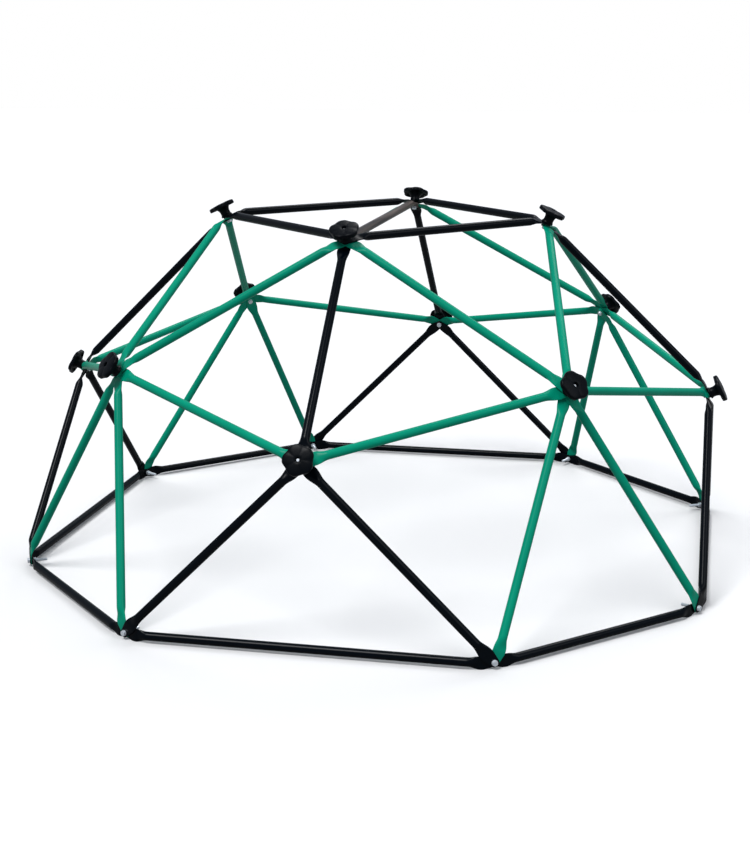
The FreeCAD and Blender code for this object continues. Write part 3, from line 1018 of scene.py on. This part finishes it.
    def build(self) -> None:
        """Model and set out the twelve knobs and inserts."""
        knob, insert = self.knob(), self.insert()
        for family, spins in self.spins.items():
            names = CORNERS if family == "corner" else SIDES
            level = "top" if family == "top" else "middle"
            for turn, (name, spin) in enumerate(zip(names, spins)):
                first = self.layout.at(family)
                up = Vector((0, 0, 1)).rotation_difference(first.axis).to_matrix().to_4x4()
                stack = len(first.stack) * self.layout.lug_thickness / 2
                place = (Matrix.Rotation(math.radians(90 * turn), 4, "Z")
                         @ Matrix.Translation(first.place + first.axis * stack) @ up
                         @ Matrix.Rotation(math.radians(spin), 4, "Z"))
                node = f"{level}_{name}"
                dress(copy_piece(knob, f"hand_knob_{node}", place), Slot.KNOB, f"knob_{node}",
                      f"knob_{node}")
                dress(copy_piece(insert, f"threaded_insert_{node}", place), Slot.INSERT,
                      f"knob_insert_{node}", f"knob_insert_{node}")
        discard(knob)
        discard(insert)


# ---------------------------------------------------------------- floor, light and camera


@dataclass(frozen=True)
class Studio:
    """A pale floor, soft light and the camera."""

    azimuth: float = 12.447
    elevation: float = 14.368
    roll: float = -0.255
    distance: float = 5.543
    target: tuple[float, float, float] = (-0.0335, 0.0, 0.3958)
    lens: float = 65.147
    sensor: float = 36.0
    floor_size: float = 60.0
    surround: tuple[float, float, float] = (0.27, 0.29, 0.33)
    floor_tone: float = 0.9
    floor_bounce: float = 0.28
    lamps: tuple[tuple[str, float, float, float, float], ...] = (
        ("key", -30.0, 60.0, 25.0, 2.1), ("fill", 70.0, 40.0, 40.0, 0.5), ("back", 170.0, 50.0, 35.0, 0.9))

    def floor(self) -> None:
        """A plain pale floor under the dome."""
        deselect()
        bpy.ops.mesh.primitive_plane_add(size=self.floor_size, location=(0, 0, 0))
        ground = named("studio_floor")
        surface = bpy.data.materials.new("studio_floor")
        surface.use_nodes = True
        nodes, links = surface.node_tree.nodes, surface.node_tree.links
        nodes.remove(nodes["Principled BSDF"])
        seen, lit, bounced = (nodes.new(kind) for kind in (
            "ShaderNodeLightPath", "ShaderNodeBsdfDiffuse", "ShaderNodeBsdfDiffuse"))
        lit.inputs["Color"].default_value = (self.floor_tone,) * 3 + (1.0,)
        bounced.inputs["Color"].default_value = (self.floor_bounce,) * 3 + (1.0,)
        either = nodes.new("ShaderNodeMixShader")
        links.new(seen.outputs["Is Camera Ray"], either.inputs["Fac"])
        links.new(bounced.outputs["BSDF"], either.inputs[1])
        links.new(lit.outputs["BSDF"], either.inputs[2])
        links.new(either.outputs["Shader"], nodes["Material Output"].inputs["Surface"])
        ground.data.materials.append(surface)

    def light(self) -> None:
        """Even surroundings, a white backdrop and three broad lamps."""
        world = bpy.data.worlds.new("studio")
        bpy.context.scene.world = world
        world.use_nodes = True
        nodes, links = world.node_tree.nodes, world.node_tree.links
        surround = nodes["Background"]
        surround.inputs["Color"].default_value = (*self.surround, 1.0)
        backdrop = nodes.new("ShaderNodeBackground")
        backdrop.inputs["Color"].default_value = (1.0, 1.0, 1.0, 1.0)
        seen = nodes.new("ShaderNodeLightPath")
        either = nodes.new("ShaderNodeMixShader")
        links.new(seen.outputs["Is Camera Ray"], either.inputs["Fac"])
        links.new(surround.outputs["Background"], either.inputs[1])
        links.new(backdrop.outputs["Background"], either.inputs[2])
        links.new(either.outputs["Shader"], nodes["World Output"].inputs["Surface"])
        bpy.context.scene.view_settings.view_transform = "Standard"
        for name, azimuth, elevation, spread, strength in self.lamps:
            lamp = bpy.data.lights.new(name, "SUN")
            lamp.angle = math.radians(spread)
            lamp.energy = strength
            stand = bpy.data.objects.new(name, lamp)
            bpy.context.scene.collection.objects.link(stand)
            around, up = math.radians(azimuth), math.radians(elevation)
            toward = Vector((math.sin(around) * math.cos(up), -math.cos(around) * math.cos(up), math.sin(up)))
            stand.rotation_euler = toward.to_track_quat("Z", "Y").to_euler()

    def camera(self) -> None:
        """The camera, a little above the dome and to its right."""
        az, el = math.radians(self.azimuth), math.radians(self.elevation)
        back = Vector((math.sin(az) * math.cos(el), -math.cos(az) * math.cos(el), math.sin(el)))
        lens = bpy.data.cameras.new("camera")
        lens.lens = self.lens
        lens.sensor_width = self.sensor
        lens.clip_end = 100.0
        stand = bpy.data.objects.new("camera", lens)
        bpy.context.scene.collection.objects.link(stand)
        turn = back.to_track_quat("Z", "Y").to_matrix().to_4x4()
        stand.matrix_world = (Matrix.Translation(Vector(self.target) + back * self.distance) @ turn
                              @ Matrix.Rotation(math.radians(self.roll), 4, "Z"))
        bpy.context.scene.camera = stand

    def build(self) -> None:
        """Set up the floor, the light and the camera."""
        self.floor()
        self.light()
        self.camera()


def main() -> None:
    """Build the studio and every sub-assembly in order."""
    logging.basicConfig(level=logging.INFO, format="%(message)s")
    Studio().build()
    layout = DomeLayout()
    tubes = TubeWork(layout)
    tubes.build()
    tubes.dress()
    Fasteners(layout).build()
    Knobs(layout).build()


if __name__ == "__main__":
    main()
